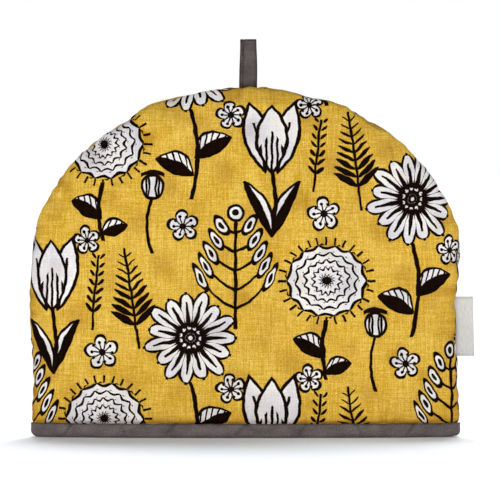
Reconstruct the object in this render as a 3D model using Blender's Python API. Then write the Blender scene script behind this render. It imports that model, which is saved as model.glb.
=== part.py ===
"""A padded tea cosy, standing open on its bound hem.

Two dome-shaped padded panels are sewn together along their curved edge. A folded tape binds the hem, a folded
tape loop stands in the top of the seam, and a folded ribbon label is caught in the right side of the seam.
Metres, +Z up. The front panel faces -Y. The origin is on the surface that the hem rests on, below the middle of
the bounding box.
"""

import math
from collections import namedtuple

import bmesh
import bpy

MM = 0.001

# The outline seen from the front, before the seam draws it in: upright sides that run into half an ellipse.
HEM_WIDTH = 342.4 * MM
BODY_HEIGHT = 279 * MM
SIDE_HEIGHT = 131 * MM

# How far the two panels stand apart, and the padded wall.
HEM_DEPTH = 86 * MM
BELLY = 5 * MM
TAPER = 2.4
WALL = 7 * MM
END_SHARPNESS = 1.12
SIDE_FULLNESS = 0.88

# The seam lies in a groove between the rolled edges of the panels.
GAP = 0.3 * MM
GROOVE_DEPTH = 2 * MM
GROOVE_WIDTH = 3 * MM

# The hem's tape, folded round the pressed edge of both panels.
BINDING_HEIGHT = 10.5 * MM
TAPE = 0.9 * MM
TAPE_INSET = 0.3 * MM
BINDING_FOLD = 1.2 * MM
PRESSED_OUTSIDE = TAPE_INSET + TAPE + GAP
PRESSED_INSIDE = WALL - PRESSED_OUTSIDE

# Where the tape is folded at a seam, the hem's corner is rounded upwards.
Corner = namedtuple("Corner", "lift spread")
LEFT_CORNER = Corner(3.4 * MM, 3.2 * MM)
RIGHT_CORNER = Corner(1.6 * MM, 6 * MM)
CORNER_REACH = 13 * MM

# The loop: a tape folded over, bowed open between its root and its top fold.
LOOP_WIDTH = 13.8 * MM
LOOP_HEIGHT = 38.5 * MM
LOOP_THICKNESS = 1.5 * MM
LOOP_BOW = 4.3 * MM
LOOP_OFF_CENTRE = 2.2 * MM
LOOP_FOLD_RADIUS = 1.5 * MM
LOOP_WAIST = 0.85 * MM

# The label: a ribbon folded in half, its fold outwards.
LABEL_BOTTOM = 63.5 * MM
LABEL_HEIGHT = 48 * MM
LABEL_REACH = 9.8 * MM
LABEL_PLY = 0.8 * MM
LABEL_SPREAD = 0.5 * MM
LABEL_LEAN = 1.2 * MM
LABEL_CURL = 1.6 * MM

# The label makes the box wider on the right, so the body stands to the left of the origin.
BODY_X = -LABEL_REACH / 2

COLUMNS = 34
SIDE_ROWS = 7
DOME_ROWS = 18
BINDING_STEPS = 80

# Where the seam's outline swells out of that ellipse or is drawn in, by the direction from the middle of the
# dome's foot: 0 degrees is the right side, 90 the top, 180 the left side.
Swell = namedtuple("Swell", "direction_deg out_mm spread_deg")
SWELLS = [
    Swell(-25.0, -1.4, 5.0),
    Swell(-5.0, -2.4, 6.0),
    Swell(14.0, 3.0, 8.0),
    Swell(28.0, 1.7, 7.0),
    Swell(44.0, 1.4, 8.0),
    Swell(59.5, 1.5, 5.0),
    Swell(70.0, -0.6, 5.0),
    Swell(81.0, 1.1, 6.0),
    Swell(101.0, -2.0, 6.0),
    Swell(110.5, -1.2, 5.0),
    Swell(119.5, 1.6, 5.0),
    Swell(128.0, -0.8, 5.0),
    Swell(138.0, -1.4, 8.0),
    Swell(165.5, 1.3, 6.0),
    Swell(190.0, 1.6, 8.0),
    Swell(205.0, -1.4, 5.0),
]

# Soft rolls that cross each panel: how far apart across and up, how deep, and where they start, in turns.
Roll = namedtuple("Roll", "across_mm up_mm deep_mm start")
ROLLS = [
    Roll(132.0, 190.0, 1.3, 0.10),
    Roll(-88.0, 121.0, 0.9, 0.35),
    Roll(61.0, -84.0, 0.5, 0.60),
]

# Each row of a panel near the hem: how high, and how far in from the outline its two faces lie.
Row = namedtuple("Row", "height outside inside")
PLUMP = 0.9 * MM
HEM_ROWS = [
    Row(BINDING_FOLD + GAP, PRESSED_OUTSIDE, PRESSED_INSIDE),
    Row(BINDING_HEIGHT + GAP, PRESSED_OUTSIDE, PRESSED_INSIDE),
    Row(BINDING_HEIGHT + 1.3 * MM, 0.2 * MM, WALL - 0.4 * MM),
    Row(BINDING_HEIGHT + 4 * MM, -0.7 * PLUMP, WALL),
    Row(BINDING_HEIGHT + 10 * MM, -PLUMP, WALL),
    Row(BINDING_HEIGHT + 21 * MM, -0.5 * PLUMP, WALL),
]


def clear_scene():
    for old in list(bpy.data.objects):
        bpy.data.objects.remove(old)


def material(name, colour, roughness):
    made = bpy.data.materials.new(name)
    made.use_nodes = True
    shader = made.node_tree.nodes["Principled BSDF"]
    shader.inputs["Base Color"].default_value = (*colour, 1)
    shader.inputs["Roughness"].default_value = roughness
    made.diffuse_color = (*colour, 1)
    return made


def smoothstep(low, high, value):
    share = min(1, max(0, (value - low) / (high - low)))
    return share * share * (3 - 2 * share)


def half_sizes(height, inset):
    """Half the width and half the depth of the section at this height, drawn in by inset."""
    rise = max(0, height - SIDE_HEIGHT) / (BODY_HEIGHT - SIDE_HEIGHT - inset)
    share = max(0, height) / (BODY_HEIGHT - inset)
    half_width = (HEM_WIDTH / 2 - inset) * math.sqrt(max(0, 1 - rise * rise))
    belly = BELLY * 4 * share * (1 - share)
    half_depth = (HEM_DEPTH / 2 - inset + belly) * math.sqrt(max(0, 1 - share**TAPER))
    return half_width, half_depth


def swelling(x, height):
    direction = math.degrees(math.atan2(height - SIDE_HEIGHT, x))
    if direction < -90:
        direction += 360
    return sum(s.out_mm * MM * math.exp(-(((direction - s.direction_deg) / s.spread_deg) ** 2)) for s in SWELLS)


def rolling(x, height, side):
    """How far a panel's soft rolls move it outwards. The back panel's lie elsewhere than the front's."""
    turn = 0 if side < 0 else 0.37
    return sum(
        r.deep_mm * MM * math.sin(math.tau * (x / r.across_mm / MM + height / r.up_mm / MM + r.start + turn))
        for r in ROLLS
    )


def cosy_point(height, angle, inset, side, grooved=False):
    """A point of the cosy's form. The angle runs from 0 at the right of the seam to pi at its left."""
    half_width, half_depth = half_sizes(height, inset)
    across, depth = math.cos(angle), math.sin(angle)
    x = math.copysign(half_width * abs(across) ** SIDE_FULLNESS, across)
    y = half_depth * max(0, depth) ** END_SHARPNESS

    rise = max(0, height - SIDE_HEIGHT)
    reach = math.hypot(x, rise) or 1
    towards = (x / reach, rise / reach)
    out = swelling(x, height) * abs(across) ** 4
    if height >= BODY_HEIGHT - inset:
        towards = (0, 1)
        out = swelling(0, height)
    if grooved:
        out -= GROOVE_DEPTH * math.exp(-((y / GROOVE_WIDTH) ** 2))
    settled = smoothstep(BINDING_HEIGHT, 4 * BINDING_HEIGHT, height) * smoothstep(0, HEM_DEPTH / 3, half_depth)
    y += rolling(x, height, side) * settled * depth**2

    corner = RIGHT_CORNER if across > 0 else LEFT_CORNER
    lift = corner.lift * math.exp(-(((half_width - abs(x)) / corner.spread) ** 2))
    lift *= 1 - smoothstep(0, CORNER_REACH, height)
    return (
        BODY_X + x + towards[0] * out,
        side * (GAP / 2 + y),
        height + towards[1] * out + lift,
    )


def panel_rows():
    """The rows of a panel from the hem to just under its top."""
    first = HEM_ROWS[-1].height
    rows = list(HEM_ROWS)
    for step in range(1, SIDE_ROWS + 1):
        share = step / SIDE_ROWS
        rows.append(Row(first + (SIDE_HEIGHT - first) * share, -0.5 * PLUMP * (1 - share) ** 2, WALL))
    return rows


def dome_height(step, inset):
    """Rows crowd towards the top, so that the rolled edge there stays round."""
    turn = math.pi / 2 * step / DOME_ROWS
    return SIDE_HEIGHT + (BODY_HEIGHT - SIDE_HEIGHT - inset) * math.sin(turn)


def cloth_face(mesh, side, face):
    """One face of a panel as a grid of points, closed by a point at the top. Returns the grid and that point."""
    outside = face == "outside"
    levels = [(row.height, getattr(row, face)) for row in panel_rows()]
    last = levels[-1][1]
    levels += [(dome_height(step, last), last) for step in range(1, DOME_ROWS)]
    angles = [math.pi * column / COLUMNS for column in range(COLUMNS + 1)]
    grid = [
        [mesh.verts.new(cosy_point(height, angle, inset, side, outside)) for angle in angles]
        for height, inset in levels
    ]
    top = mesh.verts.new(cosy_point(BODY_HEIGHT - last, math.pi / 2, last, side, outside))
    for lower, upper in zip(grid, grid[1:]):
        for column in range(COLUMNS):
            mesh.faces.new((lower[column], lower[column + 1], upper[column + 1], upper[column]))
    for column in range(COLUMNS):
        mesh.faces.new((grid[-1][column], grid[-1][column + 1], top))
    return grid, top


def edge_of(grid, top):
    """The points round a face: along the hem, up the left seam, over the top and down the right seam."""
    left = [row[-1] for row in grid[1:]]
    right = [row[0] for row in reversed(grid[1:])]
    return grid[0] + left + [top] + right


def finish(mesh, name, finish_material, sharp_deg=40):
    bmesh.ops.recalc_face_normals(mesh, faces=mesh.faces)
    data = bpy.data.meshes.new(name)
    mesh.to_mesh(data)
    mesh.free()
    data.materials.append(finish_material)
    data.shade_smooth()
    data.set_sharp_from_angle(angle=math.radians(sharp_deg))
    made = bpy.data.objects.new(name, data)
    bpy.context.scene.collection.objects.link(made)
    return made


def panel(name, side, cloth):
    mesh = bmesh.new()
    outer = edge_of(*cloth_face(mesh, side, "outside"))
    inner = edge_of(*cloth_face(mesh, side, "inside"))
    for here in range(len(outer)):
        after = (here + 1) % len(outer)
        mesh.faces.new((outer[here], outer[after], inner[after], inner[here]))
    return finish(mesh, name, cloth)


def sweep(mesh, sections, closed):
    """Skins sections of equal length with quads, and caps the two ends of an open sweep."""
    count = len(sections[0])
    pairs = list(zip(sections, sections[1:]))
    if closed:
        pairs.append((sections[-1], sections[0]))
    for this, following in pairs:
        for corner in range(count):
            after = (corner + 1) % count
            mesh.faces.new((this[corner], this[after], following[after], following[corner]))
    if not closed:
        mesh.faces.new(sections[0])
        mesh.faces.new(sections[-1])


def hem_binding(tape):
    """The tape's U-shaped section, carried round both panels. Its foot is flat."""
    outer_face, inner_face = TAPE_INSET, WALL - TAPE_INSET
    soft = BINDING_FOLD / 2
    profile = [
        (outer_face, BINDING_HEIGHT),
        (outer_face, 2 * soft),
        (outer_face + 0.3 * soft, 0.7 * soft),
        (outer_face + soft, 0),
        (inner_face - soft, 0),
        (inner_face - 0.3 * soft, 0.7 * soft),
        (inner_face, 2 * soft),
        (inner_face, BINDING_HEIGHT),
        (inner_face - TAPE, BINDING_HEIGHT),
        (inner_face - TAPE, BINDING_FOLD),
        (outer_face + TAPE, BINDING_FOLD),
        (outer_face + TAPE, BINDING_HEIGHT),
    ]
    mesh = bmesh.new()
    sections = []
    for step in range(BINDING_STEPS):
        turn = math.tau * step / BINDING_STEPS
        side, angle = (-1, turn) if turn < math.pi else (1, math.tau - turn)
        # The tape has no gap at the seams, so its two end sections lie on the seam itself.
        on_seam = step in (0, BINDING_STEPS // 2)
        points = [cosy_point(height, angle, inset, side) for inset, height in profile]
        sections.append([mesh.verts.new((x, 0 if on_seam else y, z)) for x, y, z in points])
    sweep(mesh, sections, closed=True)
    return finish(mesh, "hem_binding", tape)


def seam_seat(distance):
    """How high the panels' outside reaches at the top, this far to each side of the seam."""
    steps = range(1, 200)
    near_top = [
        cosy_point(BODY_HEIGHT * (1 - 0.03 * step / 200), math.pi / 2, 0, -1, grooved=True) for step in steps
    ]
    return max(point[2] for point in near_top if abs(point[1]) <= distance)


def thickened(line, thickness):
    """The outline of a strip whose middle follows a line of (across, along) points."""
    left, right = [], []
    for here, (across, along) in enumerate(line):
        before, after = line[max(here - 1, 0)], line[min(here + 1, len(line) - 1)]
        run = (after[0] - before[0], after[1] - before[1])
        length = math.hypot(*run)
        normal = (-run[1] / length, run[0] / length)
        left.append((across + normal[0] * thickness / 2, along + normal[1] * thickness / 2))
        right.append((across - normal[0] * thickness / 2, along - normal[1] * thickness / 2))
    return left + right[::-1]


def folded_line(root, bow, length, fold_radius, steps=10, fold_steps=6):
    """The middle of a folded strip: out from one root, bowed, round the fold, and back to the other root."""
    straight = length - fold_radius
    out = []
    for step in range(steps):
        share = step / steps
        spread = root + (bow - root) * math.sin(math.pi * min(1, share * 1.02)) ** 0.8
        blend = smoothstep(0.55, 1, share)
        out.append((spread + (fold_radius - root) * blend, straight * share))
    turns = [math.pi * step / fold_steps for step in range(fold_steps + 1)]
    fold = [(fold_radius * math.cos(turn), straight + fold_radius * math.sin(turn)) for turn in turns]
    back = [(-across, along) for across, along in reversed(out)]
    return out + fold + back


def hanging_loop(tape):
    root = (LOOP_THICKNESS + GAP) / 2
    seat = seam_seat(root + LOOP_THICKNESS / 2) + GAP
    line = folded_line(root, LOOP_BOW, LOOP_HEIGHT - LOOP_THICKNESS / 2, LOOP_FOLD_RADIUS)
    outline = thickened(line, LOOP_THICKNESS)
    mesh = bmesh.new()
    sections = []
    for side in (-1, 0, 1):
        points = []
        for across, along in outline:
            narrow = LOOP_WAIST * smoothstep(0.3 * LOOP_HEIGHT, LOOP_HEIGHT, along)
            x = BODY_X + LOOP_OFF_CENTRE + side * (LOOP_WIDTH / 2 - narrow)
            points.append(mesh.verts.new((x, across, seat + max(0, along))))
        sections.append(points)
    sweep(mesh, sections, closed=False)
    return finish(mesh, "hanging_loop", tape)


def side_label(ribbon):
    root = (LABEL_PLY + LABEL_SPREAD) / 2
    outline = thickened(folded_line(root, root * 1.25, LABEL_REACH, root, steps=5), LABEL_PLY)
    mesh = bmesh.new()
    sections = []
    rows = 8
    for row in range(rows + 1):
        height = LABEL_BOTTOM + LABEL_HEIGHT * row / rows
        seam = cosy_point(height, 0, 0, -1, grooved=True)[0]
        root_x = seam + 3 * GAP
        fold_x = BODY_X + HEM_WIDTH / 2 + LABEL_REACH - LABEL_LEAN * row / rows
        points = []
        for across, along in outline:
            share = max(0, along) / LABEL_REACH
            curl = LABEL_CURL * share**2 * (0.4 + 0.6 * math.sin(math.pi * (0.15 + 0.6 * row / rows)))
            points.append(mesh.verts.new((root_x + (fold_x - root_x) * share, across - curl, height)))
        sections.append(points)
    sweep(mesh, sections, closed=False)
    return finish(mesh, "side_label", ribbon)


def build():
    clear_scene()
    print_cloth = material("printed_cotton", (0.68, 0.42, 0.06), 0.85)
    tape = material("grey_tape", (0.11, 0.09, 0.09), 0.8)
    ribbon = material("white_ribbon", (0.78, 0.77, 0.74), 0.55)
    panel("front_panel", -1, print_cloth)
    panel("back_panel", 1, print_cloth)
    hem_binding(tape)
    hanging_loop(tape)
    side_label(ribbon)


build()
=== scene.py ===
"""The looks of a padded tea cosy: two printed, padded panels, the tape round the hem, the loop and the label.

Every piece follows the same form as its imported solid, with the finer unevenness of sewn and padded cloth.
Metres, +Z up, and the front panel faces -Y.
"""

import math
from collections import namedtuple

import bpy
import numpy as np
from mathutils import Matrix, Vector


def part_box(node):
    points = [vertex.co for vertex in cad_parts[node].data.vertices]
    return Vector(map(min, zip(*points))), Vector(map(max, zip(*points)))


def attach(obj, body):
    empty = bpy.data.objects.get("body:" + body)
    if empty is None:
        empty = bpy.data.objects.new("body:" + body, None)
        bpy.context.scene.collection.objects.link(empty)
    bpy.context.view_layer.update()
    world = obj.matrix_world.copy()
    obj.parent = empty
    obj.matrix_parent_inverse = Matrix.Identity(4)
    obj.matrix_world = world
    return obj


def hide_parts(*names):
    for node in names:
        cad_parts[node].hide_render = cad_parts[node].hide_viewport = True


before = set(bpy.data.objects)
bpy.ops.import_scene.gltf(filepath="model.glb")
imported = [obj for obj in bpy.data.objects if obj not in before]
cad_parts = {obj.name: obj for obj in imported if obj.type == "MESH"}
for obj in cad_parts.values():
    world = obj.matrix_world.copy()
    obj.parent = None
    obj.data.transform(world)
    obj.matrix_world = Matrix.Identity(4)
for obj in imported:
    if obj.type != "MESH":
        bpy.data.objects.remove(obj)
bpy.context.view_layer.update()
MM = 0.001

# The form, as the solids have it: upright sides under half an ellipse. Three exponents shape how it narrows
# upwards, how sharp its edge is at the seam, and how full it stays beside the seam.
HEM_WIDTH = 342.4 * MM
BODY_HEIGHT = 279 * MM
SIDE_HEIGHT = 131 * MM
HEM_DEPTH = 86 * MM
BELLY = 5 * MM
TAPER = 2.4
END_SHARPNESS = 1.12
SIDE_FULLNESS = 0.88
WALL = 7 * MM
GAP = 0.3 * MM
GROOVE_DEPTH = 2 * MM
GROOVE_WIDTH = 3 * MM
LABEL_REACH = 9.8 * MM
BODY_X = -LABEL_REACH / 2

# The tape folded round the hem, and how far in it presses the panels' cloth on either side.
BINDING_HEIGHT = 10.5 * MM
TAPE_TOP = 11.1 * MM
TAPE = 0.9 * MM
TAPE_INSET = 0.3 * MM
TAPE_FOOT_RADIUS = 1.4 * MM
BINDING_FOLD = 1.2 * MM
PRESSED_OUTSIDE = TAPE_INSET + TAPE + GAP
PRESSED_INSIDE = WALL - PRESSED_OUTSIDE

# The hem is lifted a little at its two corners, and rounded there.
Corner = namedtuple("Corner", "lift spread radius")
LEFT_CORNER = Corner(0.3 * MM, 8 * MM, 4.4 * MM)
RIGHT_CORNER = Corner(1.0 * MM, 7 * MM, 2.6 * MM)
CORNER_REACH = 13 * MM

# The hanging loop. A line is pressed along its tape, a little in from the left edge.
LOOP_WIDTH = 13.8 * MM
LOOP_THICKNESS = 1.5 * MM
LOOP_BOW = 4.3 * MM
LOOP_OFF_CENTRE = 2.2 * MM
LOOP_FOLD_RADIUS = 1.5 * MM
LOOP_WAIST = 0.7 * MM
LOOP_FOLD_LINE = 3.1 * MM
LOOP_SOFT_EDGE = 0.3 * MM

# The side label: how thick its plies are, how they spread, lean and curl, and how far it draws the cloth in.
LABEL_PLY = 0.8 * MM
LABEL_SPREAD = 0.5 * MM
LABEL_LEAN = 1.2 * MM
LABEL_CURL = 1.6 * MM
LABEL_PULL = 2.6 * MM
LABEL_TUCK = 0.8 * MM
LABEL_FOOT = 63.5 * MM
LABEL_HEIGHT = 48 * MM

# The seam's outline: where it swells or is drawn in, by direction from the middle of the dome's foot.
Swell = namedtuple("Swell", "direction_deg out_mm spread_deg")
SWELLS = [
    Swell(-25.0, -1.4, 5.0),
    Swell(-5.0, -2.4, 6.0),
    Swell(14.0, 3.0, 8.0),
    Swell(28.0, 1.7, 7.0),
    Swell(44.0, 1.4, 8.0),
    Swell(59.5, 1.5, 5.0),
    Swell(70.0, -0.6, 5.0),
    Swell(81.0, 1.1, 6.0),
    Swell(101.0, -2.0, 6.0),
    Swell(110.5, -1.2, 5.0),
    Swell(119.5, 1.6, 5.0),
    Swell(128.0, -0.8, 5.0),
    Swell(138.0, -1.4, 8.0),
    Swell(165.5, 1.3, 6.0),
    Swell(190.0, 1.6, 8.0),
    Swell(205.0, -1.4, 5.0),
]

# Soft rolls that cross each panel. The first three are the solids' own, and the rest are the padding's. Those
# of the back start at another turn.
Roll = namedtuple("Roll", "across_mm up_mm deep_mm start")
BACK_ROLLS_TURN = 0.37
ROLLS = [Roll(132.0, 190.0, 1.3, 0.10), Roll(-88.0, 121.0, 0.9, 0.35), Roll(61.0, -84.0, 0.5, 0.60)]
PADDING_ROLLS = [Roll(47.0, 71.0, 0.24, 0.2), Roll(-39.0, 58.0, 0.22, 0.7), Roll(83.0, 33.0, 0.18, 0.45)]
SEAM_ROLLS = [Roll(23.0, 34.0, 0.32, 0.1), Roll(-31.0, 41.0, 0.34, 0.6), Roll(53.0, -26.0, 0.34, 0.3)]
SEAM_ROLL_REACH = 20 * MM

# Puckers along a seam: how far apart, how deep, and where they start, in turns. Their depth changes in
# groups, and those of the front and the back are moved apart.
Pucker = namedtuple("Pucker", "apart_mm deep_mm start")
PUCKERS_IN_GROUP = 7.3
SEAM_PUCKER_SHIFT = 5 * MM
HEM_PUCKER_SHIFT = 9 * MM
SEAM_PUCKERS = [Pucker(13.3, 0.4, 0.15), Pucker(18.9, 0.4, 0.62), Pucker(31.0, 0.35, 0.33)]
SEAM_PUCKER_REACH = 6 * MM
HEM_PUCKERS = [Pucker(8.9, 0.26, 0.4), Pucker(13.1, 0.3, 0.1), Pucker(37.0, 0.3, 0.8)]
HEM_PUCKER_REACH = 3 * MM
TAPE_PUCKERS = [Pucker(9.1, 0.14, 0.3), Pucker(14.7, 0.17, 0.75), Pucker(37.0, 0.16, 0.05)]

# Slanting pinches in the tape, each by its place across the front or back.
Pinch = namedtuple("Pinch", "side x_mm slant deep_mm wide_mm")
TAPE_PINCHES = [
    Pinch(-1, -142, 0.6, 0.5, 1.3),
    Pinch(-1, -97, -0.5, 0.35, 1.1),
    Pinch(-1, -61, 0.8, 0.4, 1.5),
    Pinch(-1, -5, 0.9, 0.65, 1.4),
    Pinch(-1, 44, 0.7, 0.6, 1.3),
    Pinch(-1, 91, -0.6, 0.55, 1.2),
    Pinch(-1, 130, 0.8, 0.5, 1.3),
    Pinch(1, -120, 0.7, 0.5, 1.4),
    Pinch(1, -48, -0.6, 0.4, 1.2),
    Pinch(1, 12, 0.8, 0.5, 1.3),
    Pinch(1, 77, 0.5, 0.45, 1.3),
    Pinch(1, 139, -0.7, 0.5, 1.2),
]
TAPE_BULGE = 0.5 * MM

# Creases, each from one point to another in the front view, measured from the hem's middle.
Crease = namedtuple("Crease", "side start_mm end_mm deep_mm wide_mm")
CREASES = [
    Crease(-1, (172, 113), (132, 121), 1.0, 5.0),
    Crease(-1, (172, 60), (141, 52), 0.8, 4.5),
    Crease(-1, (-171, 46), (-138, 53), 0.7, 5.0),
    Crease(-1, (-129, 232), (-104, 205), 0.6, 5.0),
    Crease(-1, (139, 222), (114, 196), 0.6, 5.0),
    Crease(-1, (-10, 279), (-18, 246), 0.8, 5.0),
    Crease(1, (172, 113), (136, 104), 0.9, 5.0),
    Crease(1, (-171, 150), (-136, 158), 0.8, 5.5),
    Crease(1, (60, 262), (44, 232), 0.7, 5.0),
    Crease(1, (-112, 234), (-86, 210), 0.7, 5.0),
]

# How far the padding swells out just inside the seam: along the sides, round the dome and at its shoulders.
SIDE_SWELL = 1.0 * MM
DOME_SWELL = 3.5 * MM
SHOULDER_SWELL = 2.5 * MM
SHOULDER_X = 110 * MM
SHOULDER_SPREAD = 40 * MM
SWELL_REACH = 9.5 * MM

# The printed cloth is a little larger than its padding, and settles over it in soft wrinkles.
SPARE_CLOTH = 0.010
PADDING_PRESS = 0.3
PADDING_HOLD = 0.15
MOST_SETTLING = 2.4 * MM
SETTLING_STEP = 4.5 * MM
SETTLING_FRAMES = 30

# How soon above the tape each face of a panel is back at its full thickness.
OUTSIDE_EASE = 1.5 * MM
INSIDE_EASE = 2 * MM

# Just above the tape the cloth dips in a narrow ditch, and then plumps out over the padding.
DITCH = 0.7 * MM
DITCH_HEIGHT = 0.7 * MM
DITCH_WIDTH = 0.8 * MM
PLUMP = 1.8 * MM
PLUMP_RISE = 2.2 * MM
PLUMP_REACH = 17 * MM

# The soft shade along the seam has a darker core and a fainter fringe.
SEAM_SHADE_CORE = 6.4 * MM
SEAM_SHADE_FRINGE = 19 * MM

# The back panel is cut from another place of the printed cloth.
BACK_PRINT_SHIFT_MM = (61, 83)

# How finely the pieces are made.
COLUMNS = 150
ROWS_ABOVE_TAPE_MM = (0.3, 0.7, 1.2, 1.8, 2.5, 3.4, 4.6, 6.2, 8.4)
FIRST_SIDE_ROW = 11 * MM
SIDE_ROW = 2.6 * MM
DOME_ROWS = 72
BINDING_STEPS = 480
LABEL_ROWS = 46


# --- The form -----------------------------------------------------------------------------------------------


def smoothstep(low, high, value):
    share = np.clip((value - low) / (high - low), 0, 1)
    return share * share * (3 - 2 * share)


def near(distance, spread):
    """1 at no distance, fading to next to nothing at twice the spread."""
    return np.exp(-((distance / spread) ** 2))


def half_sizes(height, inset):
    """Half the form's width and half its depth at a height, both drawn in by an inset."""
    rise = np.maximum(0, height - SIDE_HEIGHT) / (BODY_HEIGHT - SIDE_HEIGHT - inset)
    share = np.clip(height / (BODY_HEIGHT - inset), 0, 1)
    half_width = (HEM_WIDTH / 2 - inset) * np.sqrt(np.maximum(0, 1 - rise**2))
    belly = BELLY * 4 * share * (1 - share)
    half_depth = (HEM_DEPTH / 2 - inset + belly) * np.sqrt(np.maximum(0, 1 - share**TAPER))
    return half_width, half_depth


def swelling(x, height):
    """How far the outline swells out in a point's direction from the middle of the dome's foot."""
    direction = np.degrees(np.arctan2(height - SIDE_HEIGHT, x))
    direction = np.where(direction < -90, direction + 360, direction)
    total = 0
    for swell in SWELLS:
        total = total + swell.out_mm * MM * near(direction - swell.direction_deg, swell.spread_deg)
    return total


def rolling(x, height, side, rolls):
    first_turn = 0 if side < 0 else BACK_ROLLS_TURN
    total = 0
    for roll in rolls:
        turns = x / (roll.across_mm * MM) + height / (roll.up_mm * MM) + roll.start + first_turn
        total = total + roll.deep_mm * MM * np.sin(math.tau * turns)
    return total


def rippling(along, puckers):
    """How far puckers stand out, at a distance along a seam."""
    total = 0
    for pucker in puckers:
        apart = pucker.apart_mm * MM
        wave = np.sin(math.tau * (along / apart + pucker.start))
        group = 0.65 + 0.35 * np.sin(math.tau * (along / (apart * PUCKERS_IN_GROUP) + 2 * pucker.start))
        total = total + pucker.deep_mm * MM * wave * group
    return total


def cosy_form(height, angle, inset, side, grooved=False):
    """Points of the form, as arrays. The angle runs from 0 at the right of the seam to pi at its left."""
    height, angle, inset = np.broadcast_arrays(height, angle, inset)
    half_width, half_depth = half_sizes(height, inset)
    across, depth = np.cos(angle), np.maximum(0, np.sin(angle))
    x = np.copysign(half_width * np.abs(across) ** SIDE_FULLNESS, across)
    y = half_depth * depth**END_SHARPNESS

    # The swells and the label's pull are full at the seam and fade away from it.
    rise = np.maximum(0, height - SIDE_HEIGHT)
    reach = np.maximum(np.hypot(x, rise), 1e-9)
    at_top = height >= BODY_HEIGHT - inset
    towards_x = np.where(at_top, 0, x / reach)
    towards_z = np.where(at_top, 1, rise / reach)
    out = np.where(at_top, swelling(0 * x, height), swelling(x, height) * np.abs(across) ** 4)
    up_label = height - LABEL_FOOT
    beside_label = smoothstep(-3 * MM, 5 * MM, up_label)
    beside_label = beside_label * smoothstep(3 * MM, -5 * MM, up_label - LABEL_HEIGHT)
    out = out - LABEL_PULL * beside_label * (x > 0) * np.abs(across) ** 6
    if grooved:
        out = out - GROOVE_DEPTH * near(y, GROOVE_WIDTH)

    # The rolls are free above the tape and below the very top, and fade towards the seam.
    settled = smoothstep(BINDING_HEIGHT, 4 * BINDING_HEIGHT, height)
    settled = settled * smoothstep(0, HEM_DEPTH / 3, half_depth)
    y = y + rolling(x, height, side, ROLLS) * settled * depth**2

    # The hem's two corners are lifted and rounded.
    corners = zip(RIGHT_CORNER, LEFT_CORNER)
    lift, spread, radius = (np.where(across > 0, right, left) for right, left in corners)
    from_end = half_width - np.abs(x)
    arc = radius - np.sqrt(radius**2 - np.maximum(radius - from_end, 0) ** 2)
    lift = (lift * near(from_end, spread) + arc) * (1 - smoothstep(0, CORNER_REACH, height))
    return np.stack([BODY_X + x + towards_x * out, side * (GAP / 2 + y), height + towards_z * out + lift], -1)


def along_seam(x, height):
    """How far a point lies along the seam, from the hem at the right over the top, and how deep inside it."""
    dome = BODY_HEIGHT - SIDE_HEIGHT
    turns = np.linspace(0, math.pi, 181)
    steps = np.hypot(np.diff(HEM_WIDTH / 2 * np.cos(turns)), np.diff(dome * np.sin(turns)))
    lengths = np.concatenate([[0], np.cumsum(steps)])
    rise = np.maximum(height - SIDE_HEIGHT, 0)
    turn = np.arctan2(rise / dome, x / (HEM_WIDTH / 2))
    on_dome = SIDE_HEIGHT + np.interp(turn, turns, lengths)
    on_side = np.where(x > 0, height, lengths[-1] + 2 * SIDE_HEIGHT - height)
    along = np.where(height > SIDE_HEIGHT, on_dome, on_side)
    radius = np.hypot(x / (HEM_WIDTH / 2), rise / dome)
    inside = np.where(height > SIDE_HEIGHT, (1 - radius) * dome, HEM_WIDTH / 2 - np.abs(x))
    return along, np.maximum(inside, 0)


def creasing(x, height, side):
    """How far the creases of one panel draw it in, with a soft ridge along each side of every crease."""
    total = 0 * x
    for crease in CREASES:
        if crease.side != side:
            continue
        start, end = np.array(crease.start_mm) * MM, np.array(crease.end_mm) * MM
        run = end - start
        from_x, from_height = x - start[0], height - start[1]
        share = np.clip((from_x * run[0] + from_height * run[1]) / (run @ run), 0, 1)
        away = np.hypot(from_x - share * run[0], from_height - share * run[1]) / (crease.wide_mm * MM)
        total = total - crease.deep_mm * MM * (1 - share) ** 0.7 * (1 - away**2) * np.exp(-(away**2))
    return total


# --- Meshes -------------------------------------------------------------------------------------------------


def cloth_object(name, points, faces, flat, hollow, finishes, finish_of_face=None):
    """A smooth mesh. Its UV map is each point's place on the flat cloth, in metres, and its attribute is the
    painted shade that darkens each point where it lies in a hollow or at a seam, from 0 to 1."""
    data = bpy.data.meshes.new(name)
    data.from_pydata(points.reshape(-1, 3).tolist(), [], faces)
    layer = data.uv_layers.new(name="cloth")
    corners = np.zeros(len(data.loops), dtype=int)
    data.loops.foreach_get("vertex_index", corners)
    layer.data.foreach_set("uv", flat.reshape(-1, 2)[corners].ravel())
    data.attributes.new("hollow", "FLOAT", "POINT").data.foreach_set("value", hollow.ravel())
    for finish in finishes:
        data.materials.append(finish)
    if finish_of_face is not None:
        data.polygons.foreach_set("material_index", finish_of_face)
    data.shade_smooth()
    made = bpy.data.objects.new(name, data)
    bpy.context.scene.collection.objects.link(made)
    bpy.ops.object.select_all(action="DESELECT")
    made.select_set(True)
    bpy.context.view_layer.objects.active = made
    bpy.ops.object.mode_set(mode="EDIT")
    bpy.ops.mesh.select_all(action="SELECT")
    bpy.ops.mesh.normals_make_consistent(inside=False)
    bpy.ops.object.mode_set(mode="OBJECT")
    made.select_set(False)
    return made


def stand_for(piece, node):
    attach(piece, "root")
    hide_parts(node)


def arc_lengths(points, axis):
    """How far each point lies along its line of points, from the line's start."""
    steps = np.linalg.norm(np.diff(points, axis=axis), axis=-1)
    start = np.zeros_like(np.take(steps, [0], axis=axis))
    return np.concatenate([start, np.cumsum(steps, axis=axis)], axis=axis)


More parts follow.
